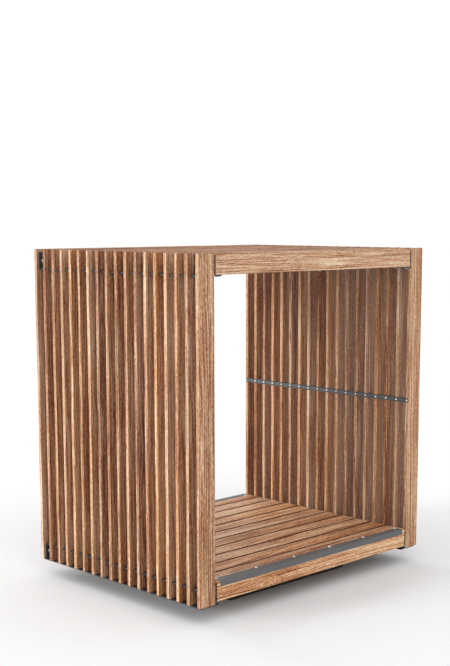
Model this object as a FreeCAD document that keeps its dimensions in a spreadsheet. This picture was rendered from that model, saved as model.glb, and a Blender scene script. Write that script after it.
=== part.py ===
"""Open slatted timber housing on a recessed steel plinth, in millimetres.

The housing is an open-ended box: two walls and a roof of timber lamellas set on edge, and a boarded
floor between a front and a back rail. Steel angles tie the lamellas together along the four inner
corners. The origin is on the ground at the centre of the footprint, +Z is up and the front faces -Y.
"""
import FreeCAD, Part
import os

# ---------------------------------------------------------------- driving dimensions

DIMENSIONS = [
    # overall
    ("width", 1400, "outside width over the two walls"),
    ("depth", 1064, "front face to back face of the lamellas"),
    ("wall_height", 1400, "length of a wall lamella"),
    ("ground_gap", 76, "height of the plinth, from the ground to the underside of the walls"),
    # timber lamellas
    ("lam_count", 18, "lamellas in each wall and in the roof"),
    ("lam_thick", 18, "lamella thickness"),
    ("lam_width", 84, "lamella width, set on edge"),
    ("edge_round", 2, "rounding of every timber edge"),
    ("end_gap", 2, "gap between a cross-grain end and the steel web beside it"),
    ("slot_gap", 0.5, "clearance around steel let into timber"),
    # corner steel
    ("angle_leg", 70, "height of a bottom angle's web and of the lower end plates"),
    ("top_leg", 76, "height of a top section's web and of the upper end plates"),
    ("angle_reach", 75, "outward reach of a corner angle's flange, with the web"),
    ("angle_thick", 6, "thickness of the corner angles, shelf and end plates"),
    ("angle_inset", 2, "corner angles stop this far inside the front and back faces"),
    ("shelf_reach", 35, "inward reach of the shelf that carries the roof lamellas"),
    ("plate_setback", 10, "end plates and base plates stop this far inside the outer face"),
    ("base_thick", 6, "thickness of the base plate under each wall"),
    ("base_lip", 20, "inward reach of the base plate beyond the web"),
    ("base_inset", 7, "base plates stop this far inside the front and back faces"),
    # mid-span bands
    ("band_leg", 20, "leg of the angle that ties the lamellas at mid-span"),
    ("band_thick", 3, "thickness of the band"),
    ("band_inset", 4, "bands stop this far inside the front and back faces"),
    # floor
    ("floor_level", 94, "top of the floor above the underside of the walls"),
    ("board_count", 11, "floor boards"),
    ("board_thick", 26, "floor board thickness"),
    ("board_gap", 10, "gap between two floor boards"),
    ("rail_height", 84, "height of the front and back floor rails"),
    ("rail_thick", 18, "thickness of the floor rails"),
    ("nosing_depth", 42, "top leg of the nosing angle"),
    ("nosing_drop", 24, "front leg of the nosing angle"),
    ("nosing_thick", 3, "thickness of the nosing angle"),
    ("nosing_ear", 18, "timber left at each end of a rail beyond the nosing"),
    ("nosing_screw_count", 6, "screws in one nosing"),
    ("nosing_screw_edge", 6, "nosing screws from the rear edge of the top leg"),
    ("nosing_screw_end", 12, "first nosing screw from the end of the nosing"),
    # under the floor
    ("bearer_count", 4, "steel bearers under the boards"),
    ("bearer_leg", 38, "both legs of a bearer angle"),
    ("bearer_thick", 4, "thickness of a bearer"),
    ("bearer_inset", 60, "screws of the outermost bearers from the webs"),
    ("cross_width", 60, "width of a cross member"),
    ("cross_wall", 3, "wall of a cross member"),
    ("plinth_width", 736, "plinth, left to right"),
    ("plinth_depth", 720, "plinth, front to back"),
    ("plinth_wall", 6, "thickness of the plinth plates"),
    ("lug_size", 80, "side of an anchor lug"),
    ("lug_thick", 8, "thickness of an anchor lug"),
    ("lug_hole_r", 7, "radius of an anchor hole"),
    # fasteners
    ("screw_r", 2.5, "radius of a wood screw"),
    ("screw_head_r", 6, "radius of a wood screw's head"),
    ("screw_head_rise", 3, "height of a wood screw's head"),
    ("screw_grip", 18, "length of a wood screw in the timber"),
    ("rail_grip", 12, "length of a bearer tab's screw in the rail"),
    ("head_taper", 0.6, "radius of a head's top over the radius of its seat"),
    ("bolt_r", 4, "radius of an end plate bolt"),
    ("bolt_head_r", 6.5, "radius of an end plate bolt's head"),
    ("bolt_head_rise", 5, "height of an end plate bolt's head"),
    ("bolt_grip", 12, "length of an end plate bolt in the lamella"),
    ("bolt_edge", 18, "end plate bolts from the plate's side edges"),
]

doc = FreeCAD.newDocument("slatted_housing")
sheet = doc.addObject("Spreadsheet::Sheet", "dims")
for row, (alias, value, meaning) in enumerate(DIMENSIONS, start=1):
    sheet.set(f"A{row}", str(value))
    sheet.setAlias(f"A{row}", alias)
    sheet.set(f"B{row}", meaning)
doc.recompute()

# ---------------------------------------------------------------- derived places, as expressions

front = "(-dims.depth / 2)"
wall_outer = "(dims.width / 2)"
wall_inner = "(dims.width / 2 - dims.lam_width)"
web_inner = f"({wall_inner} - dims.angle_thick)"
wall_bottom = "dims.ground_gap"
wall_top = "(dims.ground_gap + dims.wall_height)"
wall_middle = "(dims.ground_gap + dims.wall_height / 2)"
lam_pitch = "((dims.depth - dims.lam_thick) / (dims.lam_count - 1))"

flange_tip = f"({web_inner} + dims.angle_reach)"
plate_outer = f"({wall_outer} - dims.plate_setback)"
bottom_angle_top = f"({wall_bottom} + dims.angle_leg)"
bottom_flange = f"({bottom_angle_top} - dims.angle_thick)"
roof_underside = f"({wall_top} - dims.lam_width)"
shelf_bottom = f"({roof_underside} - dims.angle_thick)"
end_plate_inner = f"({front} + dims.lam_thick + dims.angle_thick)"
end_plate_levels = ((wall_bottom, "dims.angle_leg"), (shelf_bottom, "dims.top_leg"))

timber_end = f"({web_inner} - dims.end_gap)"
floor_top = f"({wall_bottom} + dims.floor_level)"
board_underside = f"({floor_top} - dims.board_thick)"
floor_front = f"({front} + dims.rail_thick)"
board_width = ("((dims.depth - 2 * dims.rail_thick - (dims.board_count - 1) * dims.board_gap)"
               " / dims.board_count)")
board_pitch = f"({board_width} + dims.board_gap)"
nosing_end = f"({timber_end} - dims.nosing_ear)"
nosing_screw_x = f"({nosing_end} - dims.nosing_screw_end)"
nosing_screw_y = f"({front} + dims.nosing_depth - dims.nosing_screw_edge)"

bearer_bottom = f"({board_underside} - dims.bearer_leg)"
bearer_shelf = f"({board_underside} - dims.bearer_thick)"
bearer_screw_x = f"(-{web_inner} + dims.bearer_inset)"
bearer_span = f"(-2 * {bearer_screw_x})"
bearer_x = f"({bearer_screw_x} - dims.bearer_leg / 2)"
first_board_middle = f"({floor_front} + {board_width} / 2)"
board_run = f"((dims.board_count - 1) * {board_pitch})"
rail_screw_z = f"({bearer_bottom} + dims.bearer_leg / 2)"

cross_front = "(-dims.plinth_depth / 2)"
lug_middle_x = "(dims.plinth_width / 2 - dims.plinth_wall - dims.lug_size / 2)"
lug_middle_y = "(dims.plinth_depth / 2 - dims.plinth_wall - dims.lug_size / 2)"

lam_run = "(dims.depth - dims.lam_thick)"
first_lam_middle = f"({front} + dims.lam_thick / 2)"
roof_screw_x = f"({web_inner} - dims.shelf_reach / 2)"
half_band = "(dims.band_leg / 2)"
reach_past = 5      # how far a cutting tool runs past the face it opens

# ---------------------------------------------------------------- modelling helpers

NO_TURN = FreeCAD.Rotation()
HALF_TURN = FreeCAD.Rotation(FreeCAD.Vector(0, 0, 1), 180)
ALONG_X = FreeCAD.Rotation(FreeCAD.Vector(0, 1, 0), 90)
ALONG_MINUS_X = FreeCAD.Rotation(FreeCAD.Vector(0, 1, 0), -90)
ALONG_Y = FreeCAD.Rotation(FreeCAD.Vector(1, 0, 0), -90)
ALONG_MINUS_Y = FreeCAD.Rotation(FreeCAD.Vector(1, 0, 0), 90)
ALONG_MINUS_Z = FreeCAD.Rotation(FreeCAD.Vector(1, 0, 0), 180)

sub_parts = []


def start_part(label, turn=NO_TURN):
    """Open a new sub-part; turn places it about the housing's vertical centre line."""
    body = doc.addObject("PartDesign::Body", label)
    body.Label = label
    body.AllowCompound = True
    body.Placement = FreeCAD.Placement(FreeCAD.Vector(), turn)
    sub_parts.append(body)
    return body


def place(feature, at):
    """Bind a feature's base point to three expressions."""
    for axis, expression in zip("xyz", at):
        feature.setExpression(f"Placement.Base.{axis}", str(expression))


def box(body, low, high, kind="Additive"):
    """Add a box between two corners, or cut one with kind="Subtractive"."""
    feature = body.newObject(f"PartDesign::{kind}Box", "box")
    sides = [f"({top}) - ({bottom})" for bottom, top in zip(low, high)]
    for side, expression in zip(("Length", "Width", "Height"), sides):
        feature.setExpression(side, expression)
    place(feature, low)
    return feature


def rod(body, at, radius, length, turn=NO_TURN, kind="Additive"):
    """Add a cylinder that starts at a point and runs along turn's axis, or drill one."""
    feature = body.newObject(f"PartDesign::{kind}Cylinder", "rod")
    feature.Placement = FreeCAD.Placement(FreeCAD.Vector(), turn)
    feature.setExpression("Radius", radius)
    feature.setExpression("Height", length)
    place(feature, at)
    return feature


def head(body, at, radius, rise, turn):
    """Add a fastener's head: a low cone that narrows away from the face it sits on."""
    feature = body.newObject("PartDesign::AdditiveCone", "head")
    feature.Placement = FreeCAD.Placement(FreeCAD.Vector(), turn)
    feature.setExpression("Radius1", radius)
    feature.setExpression("Radius2", f"{radius} * dims.head_taper")
    feature.setExpression("Height", rise)
    place(feature, at)
    return feature


def soften(body, blank):
    """Round all twelve edges of a timber blank."""
    feature = body.newObject("PartDesign::Fillet", "rounding")
    feature.Base = (blank, [f"Edge{number}" for number in range(1, 13)])
    feature.setExpression("Radius", "dims.edge_round")
    return feature


def soften_bend(body, steel, is_bend):
    """Round the outer bend of a steel angle, picked by a test on the edge's middle point."""
    doc.recompute()
    names = []
    for number, edge in enumerate(steel.Shape.Edges, start=1):
        if is_bend(edge):
            names.append(f"Edge{number}")
    feature = body.newObject("PartDesign::Fillet", "bend")
    feature.Base = (steel, names)
    feature.setExpression("Radius", "dims.nosing_thick")
    return feature


def origin_item(body, role):
    """Find one of the body's own axes or planes."""
    return next(item for item in body.Origin.OriginFeatures if item.Role == role)


def repeat(body, axis, length, count, features=None):
    """Repeat the body so far, or only the given features, along an axis."""
    doc.recompute()
    pattern = body.newObject("PartDesign::LinearPattern", "row")
    pattern.TransformMode = "Features" if features else "Whole shape"
    pattern.Originals = features or []
    pattern.Direction = (origin_item(body, f"{axis}_Axis"), [""])
    pattern.setExpression("Length", length)
    pattern.setExpression("Occurrences", count)
    body.Tip = pattern
    return pattern


def mirror(body, plane, features=None):
    """Mirror the body so far, or only the given features, about one of its planes."""
    doc.recompute()
    copy = body.newObject("PartDesign::Mirrored", "mirror")
    copy.TransformMode = "Features" if features else "Whole shape"
    copy.Originals = features or []
    copy.MirrorPlane = (origin_item(body, f"{plane}_Plane"), [""])
    body.Tip = copy
    return copy


# ---------------------------------------------------------------- timber

def wall_lamella(label, index, turn):
    """One wall lamella, slotted over the angles' flanges and notched for the band.

    It is drawn in the right wall about its own middle plane; the left wall's are half-turned.
    The two end lamellas hide the steel: they have no flange slots, and their band notch is blind.
    """
    body = start_part(label, turn)
    last = int(sheet.get("lam_count")) - 1
    is_end = index in (0, last)
    inward = 1 if (index == 0) == (turn is NO_TURN) else -1
    half = "(dims.lam_thick / 2)"
    blank = box(body, (wall_inner, f"-{half}", wall_bottom), (wall_outer, half, wall_top))
    soften(body, blank)
    near = f"(-{half} - {reach_past})"
    far = f"({half} + {reach_past})"
    mouth = f"({wall_inner} - {reach_past})"
    if is_end:
        blind = f"({half} - dims.band_inset + dims.slot_gap)"
        near = f"(-{blind})" if inward > 0 else near
        far = blind if inward < 0 else far
    else:
        for level in (bottom_flange, shelf_bottom):
            box(body, (mouth, near, f"{level} - dims.slot_gap"),
                (f"{flange_tip} + dims.slot_gap", far, f"{level} + dims.angle_thick + dims.slot_gap"),
                "Subtractive")
    band_top = f"({wall_middle} + {half_band} + dims.slot_gap)"
    box(body, (mouth, near, f"{wall_middle} - {half_band} - dims.slot_gap"),
        (f"{wall_inner} + dims.band_thick + dims.slot_gap", far, band_top), "Subtractive")
    box(body, (mouth, near, f"{band_top} - dims.band_thick - 2 * dims.slot_gap"),
        (f"{wall_inner} + dims.band_leg + dims.slot_gap", far, band_top), "Subtractive")
    rod(body, (wall_inner, 0, wall_middle), "dims.screw_r",
        "dims.band_thick + dims.screw_grip", ALONG_X, "Subtractive")
    if is_end:
        for level, height in end_plate_levels:
            for across in (f"{plate_outer} - dims.bolt_edge", f"{wall_inner} + dims.bolt_edge"):
                rod(body, (across, f"{inward} * {half}", f"{level} + {height} / 2"),
                    "dims.bolt_r", "dims.bolt_grip",
                    ALONG_MINUS_Y if inward > 0 else ALONG_Y, "Subtractive")
    body.setExpression("Placement.Base.y", f"{first_lam_middle} + {index} * {lam_pitch}")


def roof_lamellas():
    """The roof lamellas, on edge on the two shelves, notched underneath for the roof band."""
    body = start_part("roof_lamellas")
    back = f"({front} + dims.lam_thick)"
    blank = box(body, (f"-{timber_end}", front, roof_underside), (timber_end, back, wall_top))
    soften(body, blank)
    near = f"({front} - {reach_past})"
    far = f"({back} + {reach_past})"
    below = f"({roof_underside} - {reach_past})"
    side = f"({half_band} + dims.slot_gap)"
    for place_x in (f"-{roof_screw_x}", roof_screw_x):
        rod(body, (place_x, first_lam_middle, roof_underside), "dims.screw_r", "dims.screw_grip",
            NO_TURN, "Subtractive")
    rod(body, (0, first_lam_middle, roof_underside), "dims.screw_r",
        "dims.band_thick + dims.screw_grip", NO_TURN, "Subtractive")
    repeat(body, "Y", lam_run, "dims.lam_count")
    # the two end lamellas keep a blind notch, so it stops short of the front and back faces
    notch_front = f"({front} + dims.band_inset - dims.slot_gap)"
    box(body, (f"-{side}", notch_front, below),
        (side, f"-{notch_front}", f"{roof_underside} + dims.band_thick + dims.slot_gap"), "Subtractive")
    box(body, (f"{side} - dims.band_thick - 2 * dims.slot_gap", notch_front, below),
        (side, f"-{notch_front}", f"{roof_underside} + dims.band_leg + dims.slot_gap"), "Subtractive")


def floor_rail(label, turn):
    """The rail at the front of the floor, rebated for the nosing; the back one is half-turned."""
    body = start_part(label, turn)
    blank = box(body, (f"-{timber_end}", front, f"{floor_top} - dims.rail_height"),
                (timber_end, floor_front, floor_top))
    soften(body, blank)
    over = f"({floor_top} + {reach_past})"
    box(body, (f"-{nosing_end}", f"{front} - {reach_past}", f"{floor_top} - dims.nosing_drop"),
        (nosing_end, f"{front} + dims.nosing_thick", over), "Subtractive")
    box(body, (f"-{nosing_end}", f"{front} - {reach_past}", f"{floor_top} - dims.nosing_thick"),
        (nosing_end, f"{floor_front} + {reach_past}", over), "Subtractive")
    hole = rod(body, (bearer_screw_x, floor_front, rail_screw_z), "dims.screw_r",
               "dims.rail_grip", ALONG_MINUS_Y, "Subtractive")
    repeat(body, "X", bearer_span, "dims.bearer_count", [hole])


def floor_boards():
    """The floor boards, with pilot holes underneath, and rebates for the two nosings."""
    body = start_part("floor_boards")
    blank = box(body, (f"-{timber_end}", floor_front, board_underside),
                (timber_end, f"{floor_front} + {board_width}", floor_top))
    soften(body, blank)
    pilot = rod(body, (bearer_screw_x, first_board_middle, board_underside), "dims.screw_r",
                "dims.screw_grip", NO_TURN, "Subtractive")
    repeat(body, "X", bearer_span, "dims.bearer_count", [pilot])
    repeat(body, "Y", board_run, "dims.board_count")
    rebate = box(body, (f"-{nosing_end}", f"{front} - {reach_past}", f"{floor_top} - dims.nosing_thick"),
                 (nosing_end, f"{front} + dims.nosing_depth", f"{floor_top} + {reach_past}"),
                 "Subtractive")
    mirror(body, "XZ", [rebate])
    pilot = rod(body, (f"-{nosing_screw_x}", nosing_screw_y, f"{floor_top} - dims.nosing_thick"),
                "dims.screw_r", "dims.screw_grip", ALONG_MINUS_Z, "Subtractive")
    row = f"(2 * {nosing_screw_x})"
    for_each_end = f"(-2 * {nosing_screw_y})"
    pilots = repeat(body, "X", row, "dims.nosing_screw_count", [pilot])
    pilots.Direction2 = (origin_item(body, "Y_Axis"), [""])
    pilots.setExpression("Length2", for_each_end)
    pilots.Occurrences2 = 2


# ---------------------------------------------------------------- corner steel

def bottom_angle(label, turn):
    """The wall's bottom angle: a web beside the floor and a flange let into the lamellas."""
    body = start_part(label, turn)
    web_front = f"({front} + dims.angle_inset)"
    box(body, (web_inner, web_front, wall_bottom), (wall_inner, f"-{web_front}", bottom_angle_top))
    box(body, (web_inner, end_plate_inner, bottom_flange),
        (flange_tip, f"-{end_plate_inner}", bottom_angle_top))


def top_angle(label, turn):
    """The wall's top section: a web, an outward flange and an inward shelf for the roof."""
    body = start_part(label, turn)
    web_front = f"({front} + dims.angle_inset)"
    box(body, (web_inner, web_front, shelf_bottom),
        (wall_inner, f"-{web_front}", f"{shelf_bottom} + dims.top_leg"))
    box(body, (web_inner, end_plate_inner, shelf_bottom),
        (flange_tip, f"-{end_plate_inner}", roof_underside))
    box(body, (f"{web_inner} - dims.shelf_reach", web_front, shelf_bottom),
        (wall_inner, f"-{web_front}", roof_underside))
    hole = rod(body, (roof_screw_x, first_lam_middle, shelf_bottom), "dims.screw_r",
               "dims.angle_thick", NO_TURN, "Subtractive")
    repeat(body, "Y", lam_run, "dims.lam_count", [hole])


def end_plates():
    """Plates that close the angles behind the end lamellas, two bolt holes in each."""
    body = start_part("end_plates")
    for level, height in end_plate_levels:
        box(body, (wall_inner, f"{end_plate_inner} - dims.angle_thick", level),
            (plate_outer, end_plate_inner, f"{level} + {height}"))
        for across in (f"{plate_outer} - dims.bolt_edge", f"{wall_inner} + dims.bolt_edge"):
            rod(body, (across, end_plate_inner, f"{level} + {height} / 2"), "dims.bolt_r",
                "dims.angle_thick", ALONG_MINUS_Y, "Subtractive")
    mirror(body, "XZ")
    mirror(body, "YZ")


def base_plate(label, turn):
    """The flat plate that a wall stands on."""
    body = start_part(label, turn)
    plate_front = f"({front} + dims.base_inset)"
    box(body, (f"{web_inner} - dims.base_lip", plate_front, f"{wall_bottom} - dims.base_thick"),
        (plate_outer, f"-{plate_front}", wall_bottom))


def wall_band(label, turn):
    """The angle that ties a wall's lamellas at mid-height, let in flush with their inner edges."""
    body = start_part(label, turn)
    band_front = f"({front} + dims.band_inset)"
    band_top = f"({wall_middle} + {half_band})"
    box(body, (wall_inner, band_front, f"{wall_middle} - {half_band}"),
        (f"{wall_inner} + dims.band_thick", f"-{band_front}", band_top))
    box(body, (wall_inner, band_front, f"{band_top} - dims.band_thick"),
        (f"{wall_inner} + dims.band_leg", f"-{band_front}", band_top))
    hole = rod(body, (wall_inner, first_lam_middle, wall_middle), "dims.screw_r",
               "dims.band_thick", ALONG_X, "Subtractive")
    repeat(body, "Y", lam_run, "dims.lam_count", [hole])


def roof_band():
    """The same angle under the roof lamellas, at mid-span."""
    body = start_part("roof_band")
    band_front = f"({front} + dims.band_inset)"
    box(body, (f"-{half_band}", band_front, roof_underside),
        (half_band, f"-{band_front}", f"{roof_underside} + dims.band_thick"))
    box(body, (f"{half_band} - dims.band_thick", band_front, roof_underside),
        (half_band, f"-{band_front}", f"{roof_underside} + dims.band_leg"))
    hole = rod(body, (0, first_lam_middle, roof_underside), "dims.screw_r", "dims.band_thick",
               NO_TURN, "Subtractive")
    repeat(body, "Y", lam_run, "dims.lam_count", [hole])


# ---------------------------------------------------------------- floor steel and plinth

def nosing(label, turn):
    """The steel angle let into the front edge of the floor; the back one is half-turned."""
    body = start_part(label, turn)
    top_leg = f"({floor_top} - dims.nosing_thick)"
    box(body, (f"-{nosing_end}", front, top_leg),
        (nosing_end, f"{front} + dims.nosing_depth", floor_top))
    steel = box(body, (f"-{nosing_end}", front, f"{floor_top} - dims.nosing_drop"),
                (nosing_end, f"{front} + dims.nosing_thick", floor_top))
    face_y = -sheet.get("depth") / 2
    top_z = sheet.get("ground_gap") + sheet.get("floor_level")

    def outer_bend(edge):
        middle = edge.valueAt((edge.FirstParameter + edge.LastParameter) / 2)
        return abs(middle.y - face_y) < 1e-6 and abs(middle.z - top_z) < 1e-6

    soften_bend(body, steel, outer_bend)
    hole = rod(body, (f"-{nosing_screw_x}", nosing_screw_y, top_leg), "dims.screw_r",
               "dims.nosing_thick", NO_TURN, "Subtractive")
    repeat(body, "X", f"2 * {nosing_screw_x}", "dims.nosing_screw_count", [hole])


def floor_bearers():
    """Angles under the boards, front rail to back rail, with an end tab behind each rail."""
    body = start_part("floor_bearers")
    box(body, (bearer_x, floor_front, bearer_bottom),
        (f"{bearer_x} + dims.bearer_thick", f"-{floor_front}", board_underside))
    box(body, (bearer_x, floor_front, bearer_shelf),
        (f"{bearer_x} + dims.bearer_leg", f"-{floor_front}", board_underside))
    tab_back = f"({floor_front} + dims.bearer_thick)"
    for near, far in ((floor_front, tab_back), (f"-{tab_back}", f"-{floor_front}")):
        box(body, (bearer_x, near, bearer_bottom),
            (f"{bearer_x} + dims.bearer_leg", far, board_underside))
        rod(body, (bearer_screw_x, near, rail_screw_z), "dims.screw_r", "dims.bearer_thick",
            ALONG_Y, "Subtractive")
    hole = rod(body, (bearer_screw_x, first_board_middle, bearer_shelf), "dims.screw_r",
               "dims.bearer_thick", NO_TURN, "Subtractive")
    repeat(body, "Y", board_run, "dims.board_count", [hole])
    repeat(body, "X", bearer_span, "dims.bearer_count")


def cross_members():
    """Two rectangular tubes from web to web, over the plinth's front and back plates."""
    body = start_part("cross_members")
    cross_back = f"({cross_front} + dims.cross_width)"
    box(body, (f"-{web_inner}", cross_front, wall_bottom), (web_inner, cross_back, bearer_bottom))
    box(body, (f"-{web_inner} - {reach_past}", f"{cross_front} + dims.cross_wall",
               f"{wall_bottom} + dims.cross_wall"),
        (f"{web_inner} + {reach_past}", f"{cross_back} - dims.cross_wall",
         f"{bearer_bottom} - dims.cross_wall"), "Subtractive")
    repeat(body, "Y", "dims.plinth_depth - dims.cross_width", "2")


def plinth_frame():
    """The recessed plinth: four plates on edge, with an anchor lug inside each corner."""
    body = start_part("plinth_frame")
    side = "(dims.plinth_width / 2)"
    end = "(dims.plinth_depth / 2)"
    box(body, (f"-{side}", f"-{end}", 0), (side, end, wall_bottom))
    box(body, (f"-{side} + dims.plinth_wall", f"-{end} + dims.plinth_wall", -reach_past),
        (f"{side} - dims.plinth_wall", f"{end} - dims.plinth_wall", f"{wall_bottom} + {reach_past}"),
        "Subtractive")
    half_lug = "dims.lug_size / 2"
    for across in (f"-{lug_middle_x}", lug_middle_x):
        for along in (f"-{lug_middle_y}", lug_middle_y):
            box(body, (f"{across} - {half_lug}", f"{along} - {half_lug}", 0),
                (f"{across} + {half_lug}", f"{along} + {half_lug}", "dims.lug_thick"))
            rod(body, (across, along, 0), "dims.lug_hole_r", "dims.lug_thick", NO_TURN, "Subtractive")


# ---------------------------------------------------------------- fasteners

def wood_screw(body, at, timber_depth, turn, back_turn):
    """A wood screw whose head sits at a point; turn runs into the timber, back_turn out of it."""
    rod(body, at, "dims.screw_r", timber_depth, turn)
    head(body, at, "dims.screw_head_r", "dims.screw_head_rise", back_turn)


def band_screws():
    """One screw through the band into each lamella of both walls and of the roof."""
    body = start_part("band_screws")
    length = "dims.band_thick + dims.screw_grip"
    wood_screw(body, (wall_inner, first_lam_middle, wall_middle), length, ALONG_X, ALONG_MINUS_X)
    mirror(body, "YZ")
    wood_screw(body, (0, first_lam_middle, roof_underside), length, NO_TURN, ALONG_MINUS_Z)
    repeat(body, "Y", lam_run, "dims.lam_count")


def roof_screws():
    """One screw up through each shelf into each end of a roof lamella."""
    body = start_part("roof_screws")
    wood_screw(body, (roof_screw_x, first_lam_middle, shelf_bottom),
               "dims.angle_thick + dims.screw_grip", NO_TURN, ALONG_MINUS_Z)
    mirror(body, "YZ")
    repeat(body, "Y", lam_run, "dims.lam_count")


def nosing_screws():
    """A row of screws down through each nosing into the board below."""
    body = start_part("nosing_screws")
    wood_screw(body, (f"-{nosing_screw_x}", nosing_screw_y, floor_top),
               "dims.nosing_thick + dims.screw_grip", ALONG_MINUS_Z, NO_TURN)
    repeat(body, "X", f"2 * {nosing_screw_x}", "dims.nosing_screw_count")
    mirror(body, "XZ")


def floor_screws():
    """Screws up through the bearers into the boards, and through their end tabs into the rails."""
    body = start_part("floor_screws")
    wood_screw(body, (bearer_screw_x, first_board_middle, bearer_shelf),
               "dims.bearer_thick + dims.screw_grip", NO_TURN, ALONG_MINUS_Z)
    repeat(body, "Y", board_run, "dims.board_count")
    tab_face = f"({floor_front} + dims.bearer_thick)"
    length = "dims.bearer_thick + dims.rail_grip"
    wood_screw(body, (bearer_screw_x, tab_face, rail_screw_z), length, ALONG_MINUS_Y, ALONG_Y)
    wood_screw(body, (bearer_screw_x, f"-{tab_face}", rail_screw_z), length, ALONG_Y, ALONG_MINUS_Y)
    repeat(body, "X", bearer_span, "dims.bearer_count")


def end_plate_bolts():
    """Two bolts through each end plate into the end lamella."""
    body = start_part("end_plate_bolts")
    for level, height in end_plate_levels:
        at = (f"{wall_inner} + dims.bolt_edge", end_plate_inner, f"{level} + {height} / 2")
        rod(body, at, "dims.bolt_r", "dims.angle_thick + dims.bolt_grip", ALONG_MINUS_Y)
        head(body, at, "dims.bolt_head_r", "dims.bolt_head_rise", ALONG_Y)
    repeat(body, "X", f"{plate_outer} - {wall_inner} - 2 * dims.bolt_edge", "2")
    mirror(body, "XZ")
    mirror(body, "YZ")


# ---------------------------------------------------------------- the housing

for side, side_turn in (("left", HALF_TURN), ("right", NO_TURN)):
    for number in range(int(sheet.get("lam_count"))):
        wall_lamella(f"{side}_lamella_{number + 1:02d}", number, side_turn)
    bottom_angle(f"{side}_bottom_angle", side_turn)
    top_angle(f"{side}_top_angle", side_turn)
    base_plate(f"{side}_base_plate", side_turn)
    wall_band(f"{side}_band", side_turn)
for end, end_turn in (("front", NO_TURN), ("back", HALF_TURN)):
    floor_rail(f"{end}_rail", end_turn)
    nosing(f"{end}_nosing", end_turn)
roof_lamellas()
roof_band()
floor_boards()
end_plates()
floor_bearers()
cross_members()
plinth_frame()
band_screws()
roof_screws()
nosing_screws()
floor_screws()
end_plate_bolts()

# ---------------------------------------------------------------- check and write

doc.recompute()
for item in doc.Objects:
    if "Invalid" in item.State or "Error" in item.State:
        raise RuntimeError(f"{item.Label} did not build: {item.State}")
    if item.TypeId.startswith("PartDesign::Subtractive"):
        if item.Shape.Volume > item.BaseFeature.Shape.Volume - 1:
            raise RuntimeError(f"{item.Name} cuts nothing")
for body in sub_parts:
    if body.Shape.isNull() or not body.Shape.isValid():
        raise RuntimeError(f"{body.Label} has no valid shape")

os.makedirs("parts", exist_ok=True)
for body in sub_parts:
    body.Shape.exportStep(f"parts/{body.Label}.step")
    print(f"{body.Label:24s} {len(body.Shape.Solids):3d} solids {body.Shape.Volume / 1000:10.1f} cm3")
print(len(sub_parts), "nodes")
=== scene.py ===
"""Looks of an open slatted timber housing on a recessed steel plinth.

Every length is in metres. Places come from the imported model, whose frame has its origin on the ground
at the centre of the footprint, +Z up and the open front facing -Y.
"""
import sys

import logging
import math
import random
from collections.abc import Iterable, Sequence
from dataclasses import dataclass, field
from enum import Enum
from typing import Any

import bmesh
import bpy
import numpy as np
from mathutils import Matrix, Vector


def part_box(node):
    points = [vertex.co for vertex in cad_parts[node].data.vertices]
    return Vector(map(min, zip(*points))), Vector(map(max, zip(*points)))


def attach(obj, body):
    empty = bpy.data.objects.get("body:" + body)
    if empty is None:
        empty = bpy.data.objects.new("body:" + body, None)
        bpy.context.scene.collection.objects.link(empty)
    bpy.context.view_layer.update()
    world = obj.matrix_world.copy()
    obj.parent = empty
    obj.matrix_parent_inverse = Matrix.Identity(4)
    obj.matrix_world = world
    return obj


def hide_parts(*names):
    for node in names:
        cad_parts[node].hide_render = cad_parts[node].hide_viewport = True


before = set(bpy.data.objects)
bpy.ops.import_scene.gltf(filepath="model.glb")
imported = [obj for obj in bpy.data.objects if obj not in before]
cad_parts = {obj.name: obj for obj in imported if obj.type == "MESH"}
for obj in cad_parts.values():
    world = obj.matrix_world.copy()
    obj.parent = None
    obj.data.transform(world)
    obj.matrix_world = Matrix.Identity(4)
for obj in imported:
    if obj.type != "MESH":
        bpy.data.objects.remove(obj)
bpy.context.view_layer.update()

BOARD_SMOOTH = math.radians(40)    # faces that meet at less than this are shaded as one surface
HEAD_SMOOTH = math.radians(35)
DOWN, UP = Vector((0, 0, -1)), Vector((0, 0, 1))

Triple = tuple[float, float, float]
Pair = tuple[float, float]
Shade = tuple[int, int, int]       # an 8-bit screen colour
Place = tuple[Vector, Vector]      # a point and the direction that faces out of it
Loop = list[bmesh.types.BMVert]
Solid = bmesh.types.BMesh
Mesh = bpy.types.Mesh
Socket = bpy.types.NodeSocket

log = logging.getLogger("housing")


# ---------------------------------------------------------------- plain geometry

class Axis(Enum):
    """The three directions of the frame."""

    X = 0
    Y = 1
    Z = 2


class Way(Enum):
    """One of the two ways along an axis; the value is its sign."""

    @property
    def word(self) -> str:
        """Its name as the nodes and the pieces spell it."""
        return self.name.lower()


class Side(Way):
    """The two walls; the value is the sign of their X."""

    LEFT = -1
    RIGHT = 1


class End(Way):
    """The two open ends; the value is the sign of their Y."""

    FRONT = -1
    BACK = 1


@dataclass(frozen=True)
class Block:
    """An axis-aligned box between two corners."""

    low: Triple
    high: Triple

    @classmethod
    def of_node(cls, node: str) -> "Block":
        """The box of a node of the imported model."""
        low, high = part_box(node)
        return cls(tuple(low), tuple(high))

    @classmethod
    def between(cls, corner: Sequence[float], other: Sequence[float]) -> "Block":
        """The box between two opposite corners given in any order."""
        return cls(tuple(map(min, corner, other)), tuple(map(max, corner, other)))

    def centre(self, axis: Axis) -> float:
        """The middle along an axis."""
        return (self.low[axis.value] + self.high[axis.value]) / 2

    def size(self, axis: Axis) -> float:
        """The length along an axis."""
        return self.high[axis.value] - self.low[axis.value]

    def face(self, axis: Axis, sign: int) -> float:
        """Where its face on the low (-1) or the high (1) side of an axis is."""
        return (self.high if sign > 0 else self.low)[axis.value]


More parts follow.
